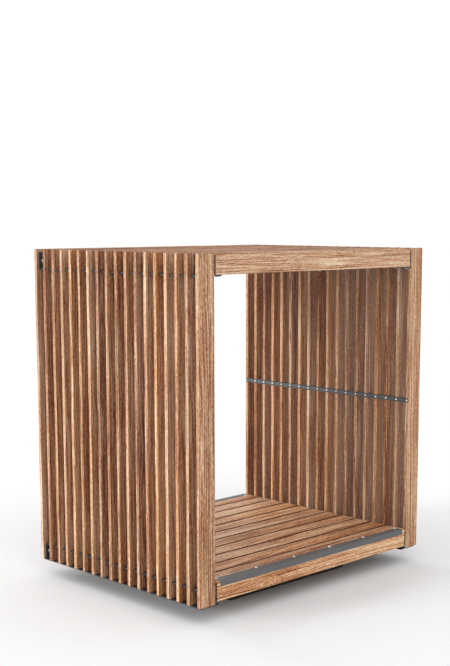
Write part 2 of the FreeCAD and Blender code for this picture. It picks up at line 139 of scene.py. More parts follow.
def show(name: str, data: bpy.types.ID) -> bpy.types.Object:
    """Add an object with the given data to the scene.

    Args:
        name: Name of the object.
        data: Its mesh, light or camera.

    Returns:
        The new object.
    """
    item = bpy.data.objects.new(name, data)
    bpy.context.scene.collection.objects.link(item)
    return item


def finish_mesh(bm: Solid) -> Mesh:
    """Turn a bmesh into a mesh with outward normals.

    Args:
        bm: The geometry, which is freed.

    Returns:
        The new mesh.
    """
    bmesh.ops.recalc_face_normals(bm, faces=bm.faces)
    mesh = bpy.data.meshes.new("part")
    bm.to_mesh(mesh)
    bm.free()
    return mesh


def sharp_boxes(blocks: Iterable[Block]) -> Solid:
    """Make boxes with sharp edges.

    Args:
        blocks: The boxes.

    Returns:
        Their geometry.
    """
    bm = bmesh.new()
    for block in blocks:
        for vertex in bmesh.ops.create_cube(bm, size=1.0)["verts"]:
            for axis in Axis:
                share = vertex.co[axis.value] + 0.5
                vertex.co[axis.value] = block.low[axis.value] + share * block.size(axis)
    return bm


def rounded_block(block: Block, radius: float, steps: int = 3) -> Mesh:
    """Make a box with all twelve edges rounded.

    Args:
        block: The box.
        radius: Radius of its edges.
        steps: Faces across each rounding.

    Returns:
        The new mesh.
    """
    bm = sharp_boxes([block])
    bmesh.ops.bevel(bm, geom=list(bm.edges), offset=radius, offset_type="OFFSET", segments=steps,
                    profile=0.5, affect="EDGES", clamp_overlap=True)
    return finish_mesh(bm)


def carve(mesh: Mesh, cuts: Sequence[Block]) -> Mesh:
    """Cut boxes out of a mesh.

    Args:
        mesh: The blank, which is removed.
        cuts: The boxes to take away; none leaves the blank as it is.

    Returns:
        The cut mesh.
    """
    if not cuts:
        return mesh
    blank = show("blank", mesh)
    tool = show("tool", finish_mesh(sharp_boxes(cuts)))
    modifier = blank.modifiers.new("cut", "BOOLEAN")
    modifier.operation = "DIFFERENCE"
    modifier.solver = "EXACT"
    modifier.use_self = True
    modifier.object = tool
    bpy.context.view_layer.update()
    depsgraph = bpy.context.evaluated_depsgraph_get()
    carved = bpy.data.meshes.new_from_object(blank.evaluated_get(depsgraph))
    for item in (blank, tool):
        used = item.data
        bpy.data.objects.remove(item)
        bpy.data.meshes.remove(used)
    return carved


@dataclass(frozen=True)
class Corner:
    """A corner of a section's outline and the radius it is rounded to."""

    u: float
    v: float
    radius: float = 0.0004


def section_outline(corners: Sequence[Corner], steps: int = 4) -> list[Vector]:
    """Walk round a section and replace each corner by an arc.

    Args:
        corners: The corners in order, counter-clockwise.
        steps: Straight pieces in each arc.

    Returns:
        The outline's points.
    """
    points = []
    for index, corner in enumerate(corners):
        here = Vector((corner.u, corner.v))
        before, after = corners[index - 1], corners[(index + 1) % len(corners)]
        back = (Vector((before.u, before.v)) - here).normalized()
        ahead = (Vector((after.u, after.v)) - here).normalized()
        half = back.angle(ahead) / 2
        middle = here + (back + ahead).normalized() * corner.radius / math.sin(half)
        arm = here + back * corner.radius / math.tan(half) - middle
        turn = math.pi - 2 * half
        if back.x * ahead.y - back.y * ahead.x > 0:
            turn = -turn
        for step in range(steps + 1):
            angle = turn * step / steps
            cos, sin = math.cos(angle), math.sin(angle)
            points.append(middle + Vector((arm.x * cos - arm.y * sin, arm.x * sin + arm.y * cos)))
    return points


def rectangle(left: float, right: float, low: float, high: float, radius: float) -> list[Vector]:
    """The outline of a rectangle with rounded corners."""
    return section_outline([Corner(left, low, radius), Corner(right, low, radius),
                            Corner(right, high, radius), Corner(left, high, radius)])


def angle_corners(reach: float, low: float, high: float, thick: float, inner_fold: float,
                  outer_fold: float) -> list[Corner]:
    """The section of an angle with an upright leg at u = 0 and a top leg that runs to larger u.

    Args:
        reach: Width of the top leg.
        low: Foot of the upright leg.
        high: Top of the top leg.
        thick: Thickness of both legs.
        inner_fold: Radius inside the fold.
        outer_fold: Radius outside the fold.

    Returns:
        The corners, counter-clockwise.
    """
    return [Corner(0, low), Corner(thick, low), Corner(thick, high - thick, inner_fold),
            Corner(reach, high - thick), Corner(reach, high), Corner(0, high, outer_fold)]


def placed_outline(corners: Sequence[Corner], origin: float, way: int) -> list[Vector]:
    """Place a section whose u runs from an origin one way or the other.

    Args:
        corners: The section, counter-clockwise with u running to the high side.
        origin: Where u is counted from.
        way: 1 when u runs to the high side, -1 when it runs to the low side.

    Returns:
        The outline's points, counter-clockwise.
    """
    return section_outline([Corner(origin + way * corner.u, corner.v, corner.radius)
                            for corner in corners[::way]])


def pull_in(points: Sequence[Vector], amount: float) -> list[Vector]:
    """Move every point of a closed counter-clockwise outline inwards.

    Args:
        points: The outline.
        amount: Distance to move each side.

    Returns:
        The smaller outline, with as many points.
    """
    sharpest_lean = 0.5
    moved = []
    for index, point in enumerate(points):
        before = (point - points[index - 1]).normalized()
        after = (points[(index + 1) % len(points)] - point).normalized()
        inward = Vector((-before.y - after.y, before.x + after.x)).normalized()
        lean = max(sharpest_lean, inward.dot(Vector((-before.y, before.x))))
        moved.append(point + inward * amount / lean)
    return moved


def skin(bm: Solid, loops: Sequence[Loop]) -> None:
    """Join each loop of vertices to the next one with quads.

    Args:
        bm: The geometry.
        loops: Loops with as many vertices each.
    """
    for near, far in zip(loops, loops[1:]):
        for index in range(len(near)):
            after = (index + 1) % len(near)
            bm.faces.new((near[index], near[after], far[after], far[index]))


def rolled_bar(outer: Sequence[Vector], axis: Axis, start: float, end: float,
               inner: Sequence[Vector] = (), chamfer: float = 0.0003) -> Mesh:
    """Extrude a section along an axis, with its end edges broken.

    The section's u and v lie along the other two axes, in the order X, Y, Z.

    Args:
        outer: Counter-clockwise outline.
        axis: Direction of the bar.
        start: Where the bar starts.
        end: Where the bar ends.
        inner: Outline of a hollow, with as many points as the outer one.
        chamfer: Break on the end edges.

    Returns:
        The new mesh.
    """
    first, second = [other.value for other in Axis if other is not axis]
    stations = ((start, chamfer), (start + chamfer, 0.0), (end - chamfer, 0.0), (end, chamfer))
    bm = bmesh.new()

    def ring(points: Sequence[Vector], along: float) -> Loop:
        """Add one loop of vertices.

        Args:
            points: The section's outline there.
            along: Its place along the bar.

        Returns:
            The vertices.
        """
        loop = []
        for point in points:
            place = [along] * 3
            place[first], place[second] = point
            loop.append(bm.verts.new(place))
        return loop

    loops = [ring(pull_in(outer, inset) if inset else outer, along) for along, inset in stations]
    skin(bm, loops)
    if inner:
        bore = [ring(pull_in(inner, -inset) if inset else inner, along) for along, inset in stations]
        skin(bm, bore)
        skin(bm, [loops[0], bore[0]])
        skin(bm, [loops[-1], bore[-1]])
    else:
        bm.faces.new(loops[0])
        bm.faces.new(loops[-1])
    return finish_mesh(bm)


# ---------------------------------------------------------------- shader networks

def rgba(shade: Shade, gain: float = 1.0) -> tuple[float, float, float, float]:
    """An 8-bit screen colour as linear light, made stronger by a gain and opaque.

    Args:
        shade: The colour.
        gain: What its light is multiplied by.

    Returns:
        The linear colour.
    """
    shares = [value / 255 for value in shade]
    light = [share / 12.92 if share <= 0.04045 else ((share + 0.055) / 1.055) ** 2.4
             for share in shares]
    return (*(min(1.0, part * gain) for part in light), 1.0)


class ShaderNet:
    """A material's node tree, with short ways to add and link nodes."""

    def __init__(self, name: str) -> None:
        """Make an empty node material.

        Args:
            name: Name of the material.
        """
        self.material = bpy.data.materials.new(name)
        self.material.use_nodes = True
        self.tree = self.material.node_tree
        self.tree.nodes.clear()
        output = self.tree.nodes.new("ShaderNodeOutputMaterial")
        self.shader = self.tree.nodes.new("ShaderNodeBsdfPrincipled")
        self.tree.links.new(self.shader.outputs["BSDF"], output.inputs["Surface"])

    def add(self, kind: str, inputs: dict[Any, Any] | None = None, **settings: Any) -> bpy.types.Node:
        """Add a node.

        Args:
            kind: Type name of the node without the prefix ShaderNode.
            inputs: For each input, by name or number, a socket to link or a value to set.
            settings: Properties of the node.

        Returns:
            The node.
        """
        node = self.tree.nodes.new("ShaderNode" + kind)
        for key, value in settings.items():
            setattr(node, key, value)
        for key, value in (inputs or {}).items():
            self.feed(node.inputs[key], value)
        return node

    def feed(self, socket: Socket, value: Any) -> None:
        """Link a socket to an input, or set its value.

        Args:
            socket: The input.
            value: A socket to link or a value to set.
        """
        if isinstance(value, Socket):
            self.tree.links.new(value, socket)
        else:
            socket.default_value = value

    def dress(self, **inputs: Any) -> None:
        """Set or link the surface shader's inputs; spaces in their names are underscores."""
        for key, value in inputs.items():
            self.feed(self.shader.inputs[key.replace("_", " ")], value)

    def attribute(self, name: str, output: str = "Fac") -> Socket:
        """What the mesh carries under a name."""
        return self.add("Attribute", attribute_name=name).outputs[output]

    def math(self, operation: str, left: Any, right: Any = 0.0) -> Socket:
        """The result of a sum on one or two numbers."""
        return self.add("Math", {0: left, 1: right}, operation=operation).outputs[0]

    def times(self, left: Any, right: Any) -> Socket:
        """The product of two numbers."""
        return self.math("MULTIPLY", left, right)

    def total(self, *terms: Any) -> Socket:
        """The sum of two or more numbers.

        Args:
            terms: The numbers.

        Returns:
            The sum.
        """
        first, *others = terms
        for term in others:
            first = self.math("ADD", first, term)
        return first

    def vector(self, operation: str, left: Any, right: Any = (0.0, 0.0, 0.0)) -> Socket:
        """The vector result of a sum on one or two vectors."""
        return self.add("VectorMath", {0: left, 1: right}, operation=operation).outputs[0]

    def noise(self, place: Any, cells: Triple, detail: float = 2.0, roughness: float = 0.5,
              output: str = "Fac") -> Socket:
        """Noise over a place in metres.

        Args:
            place: The vector to look up.
            cells: Cells per metre along each direction of the place.
            detail: Octaves.
            roughness: Share of the finer octaves.
            output: Fac for a number, Color for three.

        Returns:
            The noise.
        """
        scaled = self.vector("MULTIPLY", place, cells)
        return self.add("TexNoise", {"Vector": scaled, "Scale": 1.0, "Detail": detail,
                                     "Roughness": roughness}).outputs[output]

    def ramp(self, factor: Any, stops: Sequence[tuple[float, tuple[float, ...]]]) -> Socket:
        """A colour ramp.

        Args:
            factor: Where to look the colour up.
            stops: Places and linear colours, in order.

        Returns:
            The colour.
        """
        node = self.add("ValToRGB", {"Fac": factor})
        elements = node.color_ramp.elements
        while len(elements) < len(stops):
            elements.new(0.5)
        for element, (place, colour) in zip(elements, stops):
            element.position, element.color = place, colour
        return node.outputs["Color"]

    def cycle(self, distance: Any, pitch: float, wander: Any, profile: Sequence[Pair]) -> Socket:
        """A number that repeats with a distance.

        Args:
            distance: The distance in metres.
            pitch: Length of one repeat.
            wander: What shifts the repeats, in repeats.
            profile: The number at places through one repeat, from 0 to 1.

        Returns:
            The number.
        """
        phase = self.math("FRACT", self.total(self.math("DIVIDE", distance, pitch), wander))
        return self.ramp(phase, [(place, (height, height, height, 1.0)) for place, height in profile])

    def remap(self, value: Any, source: Pair, target: Pair = (0.0, 1.0)) -> Socket:
        """Map one range of a number onto another, clamped."""
        return self.add("MapRange", {"Value": value, "From Min": source[0], "From Max": source[1],
                                     "To Min": target[0], "To Max": target[1]}).outputs["Result"]

    def mix(self, factor: Any, first: Any, second: Any) -> Socket:
        """Mix two colours."""
        return self.add("Mix", {"Factor": factor, 6: first, 7: second}, data_type="RGBA").outputs[2]

    def bump(self, height: Any, strength: float, distance: float) -> Socket:
        """A surface normal disturbed by a height."""
        return self.add("Bump", {"Strength": strength, "Distance": distance,
                                 "Height": height}).outputs["Normal"]


# ---------------------------------------------------------------- finishes

UNIT: Pair = (0.0, 1.0)
MIDDLE: Pair = (0.30, 0.70)        # what most of a noise's values lie between


@dataclass(frozen=True)
class Finish:
    """Base of every finish: it makes its material once and hands it out."""

    label: str
    slot: str

    def material(self) -> bpy.types.Material:
        """The finish's material, made when it is first asked for.

        Returns:
            The material.
        """
        made = bpy.data.materials.get(self.label)
        if made is None:
            net = ShaderNet(self.label)
            self.compose(net)
            made = net.material
        return made

    def compose(self, net: ShaderNet) -> None:
        """Fill the material's node tree."""
        raise NotImplementedError


@dataclass(frozen=True)
class OiledTimber(Finish):
    """Ring-porous hardwood, brown right through and lightly oiled.

    The colour is solid: it follows the growth rings round a pith, through the grain place that each
    board's mesh carries, so faces, edges and ends agree. Every layer adds to one depth, which the
    colours pale, tan, amber, russet and umber follow.
    """

    ring_width: float = 0.0068
    ring_share: float = 0.26
    ring_wander: float = 1.1
    ring_profile: tuple[Pair, ...] = ((0.0, 0.35), (0.10, 0.04), (0.45, 0.30), (0.84, 0.95),
                                      (0.94, 1.0), (1.0, 0.35))
    vein_pitch: float = 0.047
    vein_depth: float = 0.26
    vein_wander: float = 0.10
    vein_profile: tuple[Pair, ...] = ((0.0, 0.0), (0.025, 1.0), (0.06, 0.45), (0.13, 0.0))
    sway: float = 0.040
    sway_cells: Triple = (1.7, 5.0, 5.0)
    streak_share: float = 0.46
    streak_cells: Triple = (3.2, 210.0, 210.0)
    streak_span: Pair = (0.34, 0.66)
    fibre_cells: Triple = (30.0, 900.0, 900.0)
    fleck_depth: float = 0.17
    fleck_cells: Triple = (75.0, 330.0, 330.0)
    heart_depths: Pair = (-0.06, 0.13)
    heart_cells: Triple = (1.6, 14.0, 14.0)
    heart_span: Pair = (0.35, 0.68)
    pore_cells: Triple = (38.0, 1900.0, 1900.0)
    pore_span: Pair = (0.58, 0.68)
    pore_stain: float = 0.5
    pore_sink: float = 0.8
    brightness: float = 0.99
    board_depths: Pair = (1.10, 0.82)
    board_values: Pair = (0.92, 1.02)
    board_saturations: Pair = (1.10, 0.94)
    tone_steps: float = 5.0
    pale: Shade = (233, 210, 181)
    tan: Shade = (207, 169, 132)
    amber: Shade = (183, 130, 88)
    russet: Shade = (136, 77, 44)
    umber: Shade = (74, 36, 24)
    colour_places: tuple[float, ...] = (0.15, 0.35, 0.52, 0.70, 0.92)
    # This colour, mixed in by the rim attribute at this strength, is real stain on the ends, a darker
    # tint on the rounded edges and painted shade on faces in gaps and joints.
    grime: Shade = (110, 58, 38)
    rim_stain: float = 0.45
    roughness: Pair = (0.62, 0.48)

    def pith_distance(self, net: ShaderNet, grain: Socket) -> Socket:
        """The distance from the pith, which sways slowly along the log.

        Args:
            net: The material's node tree.
            grain: The grain place.

        Returns:
            The distance in metres.
        """
        bend = net.noise(grain, self.sway_cells, output="Color")
        drift = net.vector("MULTIPLY", net.vector("SUBTRACT", bend, (0.5, 0.5, 0.5)),
                           (0.0, self.sway, self.sway))
        across = net.vector("MULTIPLY", net.vector("ADD", grain, drift), (0.0, 1.0, 1.0))
        return net.add("VectorMath", {0: across}, operation="LENGTH").outputs["Value"]

    def depth(self, net: ShaderNet, grain: Socket, fibre: Socket) -> Socket:
        """How deep the colour is, before the board's own tone.

        Args:
            net: The material's node tree.
            grain: The grain place.
            fibre: The fine noise along the fibres.

        Returns:
            The depth, about 0 to 1.
        """
        radius = self.pith_distance(net, grain)
        streak = net.noise(grain, self.streak_cells, detail=3.0, roughness=0.65)
        wander = net.times(net.math("SUBTRACT", streak, 0.5), self.ring_wander)
        ring = net.cycle(radius, self.ring_width, wander, self.ring_profile)
        vein = net.cycle(radius, self.vein_pitch, net.times(wander, self.vein_wander),
                         self.vein_profile)
        fleck = net.noise(grain, self.fleck_cells)
        heart = net.noise(grain, self.heart_cells)
        fine_share = 1.0 - self.ring_share - self.streak_share
        return net.total(net.times(ring, self.ring_share),
                         net.remap(streak, self.streak_span, (0.0, self.streak_share)),
                         net.remap(fibre, MIDDLE, (0.0, fine_share)),
                         net.remap(fleck, MIDDLE, (-self.fleck_depth, self.fleck_depth)),
                         net.remap(heart, self.heart_span, self.heart_depths),
                         net.times(vein, self.vein_depth))

    def compose(self, net: ShaderNet) -> None:
        """Fill the material's node tree.

        Args:
            net: The tree.
        """
        grain = net.attribute("grain", "Vector")
        tone = net.attribute("tone")
        fibre = net.noise(grain, self.fibre_cells, detail=3.0, roughness=0.6)
        depth = net.times(self.depth(net, grain, fibre), net.remap(tone, UNIT, self.board_depths))
        shades = (self.pale, self.tan, self.amber, self.russet, self.umber)
        colour = net.ramp(depth, list(zip(self.colour_places, map(rgba, shades))))
        open_pore = net.remap(net.noise(grain, self.pore_cells), self.pore_span,
                              (0.0, self.pore_stain))
        pored = net.mix(open_pore, colour, rgba(self.umber))
        # Painted shade: faces in gaps and joints are mixed towards the darker rim colour, as are the
        # ends, by real stain, and the rounded edges.
        stained_and_shaded = net.mix(net.times(net.attribute("rim"), self.rim_stain), pored, rgba(self.grime))
        values = tuple(value * self.brightness for value in self.board_values)
        other_tone = net.math("FRACT", net.times(tone, self.tone_steps))
        toned = net.add("HueSaturation", {
            "Color": stained_and_shaded, "Value": net.remap(tone, UNIT, values),
            "Saturation": net.remap(other_tone, UNIT, self.board_saturations)})
        height = net.math("SUBTRACT", fibre, net.times(open_pore, self.pore_sink))
        net.dress(Base_Color=toned.outputs["Color"], Roughness=net.remap(depth, UNIT, self.roughness),
                  Specular_IOR_Level=0.42, Normal=net.bump(height, strength=0.35, distance=0.0006))


@dataclass(frozen=True)
class CoatedSteel(Finish):
    """Steel under a fine-textured powder coat, dusty in places and paler at its edges."""

    colour: Shade = (72, 74, 77)
    dusty: Shade = (84, 84, 84)
    roughness: float = 0.46
    smoother: float = 0.06
    rougher: float = 0.10
    cloud_cells: Triple = (7.0, 7.0, 7.0)
    grit_cells: Triple = (1400.0, 1400.0, 1400.0)
    grit_share: float = 0.3
    dust_span: Pair = (0.45, 0.85)
    edge_span: Pair = (0.52, 0.60)
    edge_paling: float = 0.35
    edge_gain: float = 1.9

    def compose(self, net: ShaderNet) -> None:
        """Fill the material's node tree.

        Args:
            net: The tree.
        """
        place = net.add("TexCoord").outputs["Object"]
        cloud = net.noise(place, self.cloud_cells, detail=4.0)
        grit = net.noise(place, self.grit_cells)
        convexity = net.add("NewGeometry").outputs["Pointiness"]
        dust = net.remap(net.total(cloud, net.times(grit, self.grit_share)), self.dust_span)
        base = net.mix(dust, rgba(self.colour), rgba(self.dusty))
        # Sharp convex edges are mixed towards a paler grey.
        edge = net.remap(convexity, self.edge_span, (0.0, self.edge_paling))
        rough_span = (self.roughness - self.smoother, self.roughness + self.rougher)
        net.dress(Base_Color=net.mix(edge, base, rgba(self.dusty, self.edge_gain)),
                  Roughness=net.remap(cloud, MIDDLE, rough_span),
                  Specular_IOR_Level=0.5, Normal=net.bump(grit, strength=0.18, distance=0.0003))


@dataclass(frozen=True)
class BrightSteel(Finish):
    """Stainless steel, turned and lightly scratched; its near-white colour under a weak metal sheen
    partly paints the glint on the heads.
    """

    colour: Shade = (250, 250, 248)
    tarnished: Shade = (205, 204, 200)
    tarnish_cells: Triple = (60.0, 60.0, 60.0)
    tarnish_span: Pair = (0.4, 0.7)
    tarnish_share: float = 0.5
    scratch_cells: Triple = (350.0, 2600.0, 900.0)
    roughness: Pair = (0.20, 0.34)

    def compose(self, net: ShaderNet) -> None:
        """Fill the material's node tree.

        Args:
            net: The tree.
        """
        place = net.add("TexCoord").outputs["Object"]
        scratch = net.noise(place, self.scratch_cells, detail=3.0)
        tarnish = net.remap(net.noise(place, self.tarnish_cells), self.tarnish_span,
                            (0.0, self.tarnish_share))
        # Painted glint: the heads get a near-white colour that stays bright under any light, where
        # polished steel would mirror darker surroundings.
        net.dress(Base_Color=net.mix(tarnish, rgba(self.colour), rgba(self.tarnished)), Metallic=0.45,
                  Roughness=net.remap(scratch, MIDDLE, self.roughness),
                  Normal=net.bump(scratch, strength=0.12, distance=0.0002))


@dataclass(frozen=True)
class StudioFloor(Finish):
    """A plain pale floor."""

    colour: Triple = (0.800, 0.806, 0.814)

    def compose(self, net: ShaderNet) -> None:
        """Fill the material's node tree."""
        net.dress(Base_Color=(*self.colour, 1.0), Roughness=0.75, Specular_IOR_Level=0.15)


@dataclass(frozen=True)
class Palette:
    """The finishes of the whole housing."""

    lamella_timber: OiledTimber = OiledTimber("oiled_lamella_timber", "lamella_timber")
    # The deck's darker rim colour and stronger mix mostly paint shade into the joints between the
    # boards.
    deck_timber: OiledTimber = OiledTimber("oiled_deck_timber", "deck_timber", ring_width=0.0075,
                                           brightness=1.17, grime=(58, 34, 22), rim_stain=0.9)
    grey_steel: CoatedSteel = CoatedSteel("grey_coated_steel", "grey_steel")
    # Darker copy of the grey coat: partly a dark grey coat, partly painted shade for the steel set
    # behind the lamellas.
    corner_steel: CoatedSteel = CoatedSteel("dark_grey_coated_steel", "grey_steel", (39, 42, 46),
                                            (50, 52, 55))
    # Darker copy of the grey coat: partly its own colour, partly painted shade for the bands let into
    # the lamellas.
    band_steel: CoatedSteel = CoatedSteel("band_coated_steel", "grey_steel", (56, 59, 63),
                                          (68, 70, 72))
    black_steel: CoatedSteel = CoatedSteel("black_coated_steel", "black_steel", (14, 15, 17),
                                           (27, 28, 29), roughness=0.55)
    black_washer: CoatedSteel = CoatedSteel("blackened_washer", "black_steel", (9, 10, 11),
                                            (17, 18, 19), roughness=0.6)
    stainless: BrightSteel = BrightSteel("bright_steel", "stainless")


# ---------------------------------------------------------------- pieces

def place_piece(name: str, mesh: Mesh, finish: Finish, node: str,
                smooth_below: float = BOARD_SMOOTH) -> None:
    """Show a mesh as a piece that rides on the housing.

    Args:
        name: Name of the piece.
        mesh: Its mesh, in the frame's own coordinates.
        finish: Its finish.
        node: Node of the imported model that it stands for.
        smooth_below: Faces that meet at less than this angle are shaded as one surface.
    """
    mesh.name = name
    piece = show(name, mesh)
    mesh.materials.clear()
    mesh.materials.append(finish.material())
    mesh.polygons.foreach_set("use_smooth", [True] * len(mesh.polygons))
    mesh.set_sharp_from_angle(angle=smooth_below)
    piece.modifiers.new("even_shading", "WEIGHTED_NORMAL").keep_sharp = True
    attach(piece, "root")
    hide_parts(node)
    log.info("%-26s %6d faces  %s", name, len(mesh.polygons), finish.label)


def dress_node(node: str, finish: Finish) -> None:
    """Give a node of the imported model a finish, and leave its shape alone.

    Args:
        node: Name of the node.
        finish: Its finish.
    """
    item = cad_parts[node]
    item.data.materials.clear()
    item.data.materials.append(finish.material())
    log.info("%-26s kept shape  %s", node, finish.label)


@dataclass(frozen=True)
class Board:
    """A board to be made; its open face is the broad one that looks into no gap: -1, 1 or 0."""

    name: str
    block: Block
    along: Axis
    thick: Axis
    node: str
    cuts: Sequence[Block] = ()
    open_face: int = 0


@dataclass(frozen=True)
class Sawing:
    """How boards were cut from their logs, and how much each kind of face is darkened: ends by real
    stain, faces in gaps and joints by painted shade.
    """

    pith_near: float = 0.030
    pith_far: float = 0.090
    off_side: float = 0.080
    slope: float = 0.012
    log_length: float = 40.0
    end_stain: float = 0.7
    # Painted shade on the long sides of deck boards, which darkens the joints between them.
    joint_shade: float = 0.0
    # Painted shade on the broad faces that look into the gaps between lamellas.
    gap_shade: float = 0.0
    on_face_share: float = 0.3     # of the edge radius: nearer to a face than this is on it
    on_edge_share: float = 0.9     # of the edge radius: nearer to two faces than this is on an edge

    def grade(self, mesh: Mesh, board: Board, edge_round: float, draw: random.Random) -> None:
        """Write a board's grain places, tone and darkened rims into its mesh: end stain, edge tint,
        painted shade in gaps.

        Args:
            mesh: The board's mesh.
            board: The board.
            edge_round: Radius of its edges.
            draw: Source of the board's chances.
        """
        block, along, thick = board.block, board.along, board.thick
        wide = next(axis for axis in Axis if axis not in (along, thick))
        count = len(mesh.vertices)
        places = np.empty(count * 3)
        mesh.vertices.foreach_get("co", places)
        places = places.reshape(count, 3)
        length = places[:, along.value] - block.centre(along)
        across = places[:, wide.value] - block.centre(wide)
        through = places[:, thick.value] - block.centre(thick)
        pith = draw.uniform(self.pith_near, self.pith_far) * draw.choice((-1, 1))
        grain = np.empty((count, 3))
        grain[:, 0] = length * draw.choice((-1, 1)) + draw.uniform(0.0, self.log_length)
        grain[:, 1] = across + draw.uniform(-self.off_side, self.off_side)
        grain[:, 1] += length * draw.uniform(-self.slope, self.slope)
        grain[:, 2] = through + pith + length * draw.uniform(-self.slope, self.slope)
        tone = np.full(count, draw.uniform(0.0, 1.0))
        inside = np.minimum(places - np.array(block.low), np.array(block.high) - places)
        on_face = inside < self.on_face_share * edge_round
        rounded = (inside < self.on_edge_share * edge_round).sum(axis=1) >= 2
        # Broad faces that look into a gap, not out of an open end, take painted shade.
        in_gap = on_face[:, thick.value] & (np.sign(through) != board.open_face)
        rim = np.select([rounded, on_face[:, along.value], on_face[:, wide.value], in_gap],
                        [1.0, self.end_stain, self.joint_shade, self.gap_shade], 0.0)
        for name, kind, key, values in (("grain", "FLOAT_VECTOR", "vector", grain.ravel()),
                                        ("tone", "FLOAT", "value", tone),
                                        ("rim", "FLOAT", "value", rim)):
            mesh.attributes.new(name, kind, "POINT").data.foreach_set(key, values)


@dataclass(frozen=True)
class BoardMaker:
    """Cuts, rounds, grades and places timber boards."""

    finish: OiledTimber
    seed: int
    sawing: Sawing = Sawing()
    edge_round: float = 0.002
    draw: random.Random = field(init=False, repr=False)

    def __post_init__(self) -> None:
        """Start the maker's own run of chances."""
        object.__setattr__(self, "draw", random.Random(self.seed))

    def make(self, board: Board) -> None:
        """Make one board and show it.

        Args:
            board: The board.
        """
        mesh = carve(rounded_block(board.block, self.edge_round), board.cuts)
        self.sawing.grade(mesh, board, self.edge_round, self.draw)
        place_piece(board.name, mesh, self.finish, board.node)


@dataclass(frozen=True)
class Stations:
    """Where the lamellas stand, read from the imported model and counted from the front."""

    count: int
    pitch: float
    first: float
    thickness: float

    @classmethod
    def of_wall(cls) -> "Stations":
        """Read the lamellas of one wall.

        Returns:
            Their stations.
        """
        blocks = [Block.of_node(node) for node in sorted(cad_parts) if "right_lamella_" in node]
        middles = sorted(block.centre(Axis.Y) for block in blocks)
        pitch = (middles[-1] - middles[0]) / (len(middles) - 1)
        return cls(len(middles), pitch, middles[0], blocks[0].size(Axis.Y))

    def middles(self) -> list[float]:
        """The Y of every lamella's middle plane."""
        return [self.first + index * self.pitch for index in range(self.count)]

    def row(self, x: float, z: float, outwards: Vector) -> list[Place]:
        """A place at every lamella."""
        return [(Vector((x, y, z)), outwards) for y in self.middles()]

    def open_face(self, index: int) -> int:
        """Which broad face of a lamella looks out of an open end, as the sign of its Y."""
        return {0: End.FRONT.value, self.count - 1: End.BACK.value}.get(index, 0)


@dataclass
class Slatted:
    """What a slatted wall and the slatted roof share."""

    palette: Palette
    stations: Stations
    clearance: float = 0.0005
    band_thick: float = 0.003
    band_fold: float = 0.001
    reach_past: float = 0.003
    # How much painted shade darkens the lamella faces inside the gaps.
    gap_shade: float = 0.68

    def build_lamellas(self) -> None:
        """Make every lamella."""
        raise NotImplementedError

    def build_band(self) -> None:
        """Make the band."""
        raise NotImplementedError

    def build(self) -> None:
        """Make the lamellas and the band."""
        self.build_lamellas()
        self.build_band()


@dataclass
class SlattedWall(Slatted):
    """One wall: lamellas on edge, slotted over the steel, and the band that ties them."""

    side: Side = Side.LEFT
    plate_thick: float = 0.006
    left_seed: int = 94
    right_seed: int = 31

    def __post_init__(self) -> None:
        """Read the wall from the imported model."""
        self.word, way = self.side.word, self.side.value
        self.band = Block.of_node(f"{self.word}_band")
        self.bottom = Block.of_node(f"{self.word}_bottom_angle")
        self.top = Block.of_node(f"{self.word}_top_angle")
        self.inner_face = Block.of_node(f"{self.word}_lamella_01").face(Axis.X, -way)
        self.web_face = self.bottom.face(Axis.X, -way)
        self.flange_tip = self.bottom.face(Axis.X, way)
        self.steel = abs(self.inner_face - self.web_face)

    def slot(self, low: float, high: float, depth: float, front: float, back: float) -> Block:
        """A cut from the inner edge.

        Args:
            low: Its lowest Z.
            high: Its highest Z.
            depth: How far it runs into the lamella.
            front: Its lowest Y.
            back: Its highest Y.

        Returns:
            The cutting box.
        """
        way = self.side.value
        return Block.between((self.inner_face - way * self.reach_past, front, low),
                             (self.inner_face + way * depth, back, high))

    def cuts(self, index: int, middle: float) -> list[Block]:
        """What is cut out of a lamella.

        Args:
            index: Its number, 0 at the front.
            middle: The Y of its middle plane.

        Returns:
            The cutting boxes.
        """
        reach = self.stations.thickness / 2 + self.reach_past
        front, back = middle - reach, middle + reach
        gap, band, last = self.clearance, self.band, self.stations.count - 1
        front = max(front, band.low[1] - gap) if index == 0 else front
        back = min(back, band.high[1] + gap) if index == last else back
        found = [self.slot(band.low[2] - gap, band.high[2] + gap, self.band_thick + gap, front, back),
                 self.slot(band.high[2] - self.band_thick - gap, band.high[2] + gap,
                           band.size(Axis.X) + gap, front, back)]
        if 0 < index < last:
            depth = abs(self.flange_tip - self.inner_face) + gap
            for low in (self.bottom.high[2] - self.steel, self.top.low[2]):
                found.append(self.slot(low - gap, low + self.steel + gap, depth, front, back))
        return found

    def build_lamellas(self) -> None:
        """Make every lamella of the wall."""
        seed = self.right_seed if self.side is Side.RIGHT else self.left_seed
        maker = BoardMaker(self.palette.lamella_timber, seed, Sawing(gap_shade=self.gap_shade))
        for index, middle in enumerate(self.stations.middles()):
            node = f"{self.word}_lamella_{index + 1:02d}"
            maker.make(Board(f"{self.word}_slat_{index + 1:02d}", Block.of_node(node), Axis.Z, Axis.Y,
                             node, self.cuts(index, middle), self.stations.open_face(index)))

    def build_band(self) -> None:
        """Make the band, a folded angle with its top leg let into the lamellas."""
        band = self.band
        corners = angle_corners(band.size(Axis.X), band.low[2], band.high[2], self.band_thick,
                                self.band_fold, self.band_thick)
        mesh = rolled_bar(placed_outline(corners, self.inner_face, self.side.value), Axis.Y,
                          band.low[1], band.high[1])
        place_piece(f"{self.word}_tie_band", mesh, self.palette.band_steel, f"{self.word}_band")


